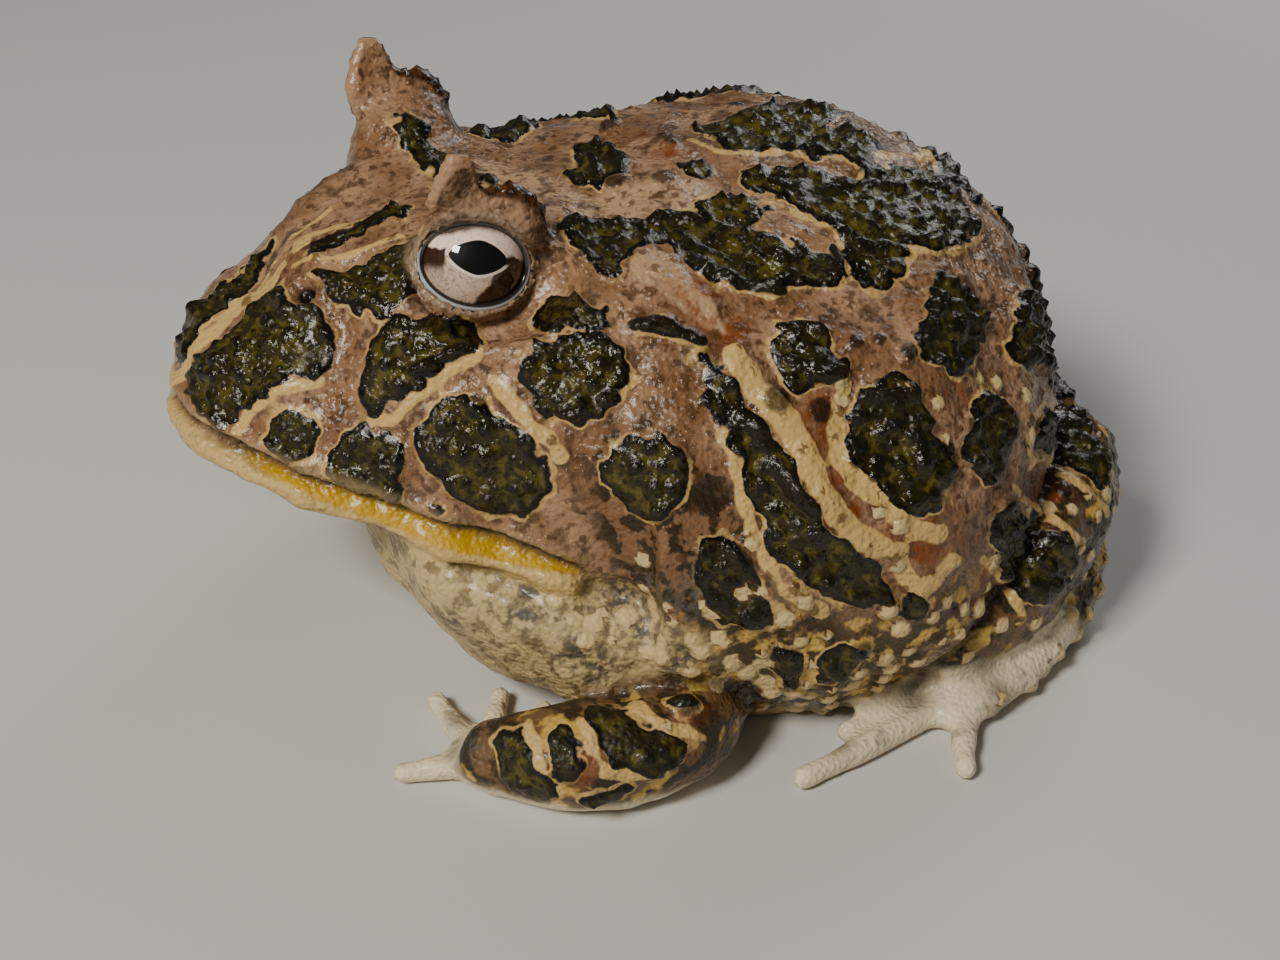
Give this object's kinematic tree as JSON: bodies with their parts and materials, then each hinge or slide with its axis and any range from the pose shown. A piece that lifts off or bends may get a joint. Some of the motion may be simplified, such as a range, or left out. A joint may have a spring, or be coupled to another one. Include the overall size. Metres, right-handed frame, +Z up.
{
  "type": "argentine horned frog",
  "caption": "Life-size still model of a squat horned frog with a very wide mouth, horned eyelids and a blotched, warty olive and cream skin, resting on its belly.",
  "frame": {"origin": "centre of the bottom of the bounding box, on the surface that the frog sits on", "axes": "+Z up, the frog looks along -Y, its own left side is +X"},
  "size_m": [0.1068, 0.1084, 0.0646],
  "materials": {
    "olive_skin": "wet, warty, olive blotches with black edges",
    "taupe_skin": "moist, fine-grained taupe brown",
    "pale_skin": "moist, cream with dusky mottling",
    "eye": "wet silver iris with a black level pupil"
  },
  "bodies": {
    "root": {"head": "olive_skin", "lower_jaw": "pale_skin", "throat": "pale_skin", "torso": "olive_skin", "eye_left": "eye", "upper_eyelid_left": "taupe_skin", "upper_arm_left": "taupe_skin", "forearm_left": "olive_skin", "hand_left": "pale_skin", "thigh_left": "olive_skin", "shank_left": "taupe_skin", "foot_left": "pale_skin", "eye_right": "eye", "upper_eyelid_right": "taupe_skin", "upper_arm_right": "taupe_skin", "forearm_right": "olive_skin", "hand_right": "pale_skin", "thigh_right": "olive_skin", "shank_right": "taupe_skin", "foot_right": "pale_skin"}
  },
  "joints": []
}
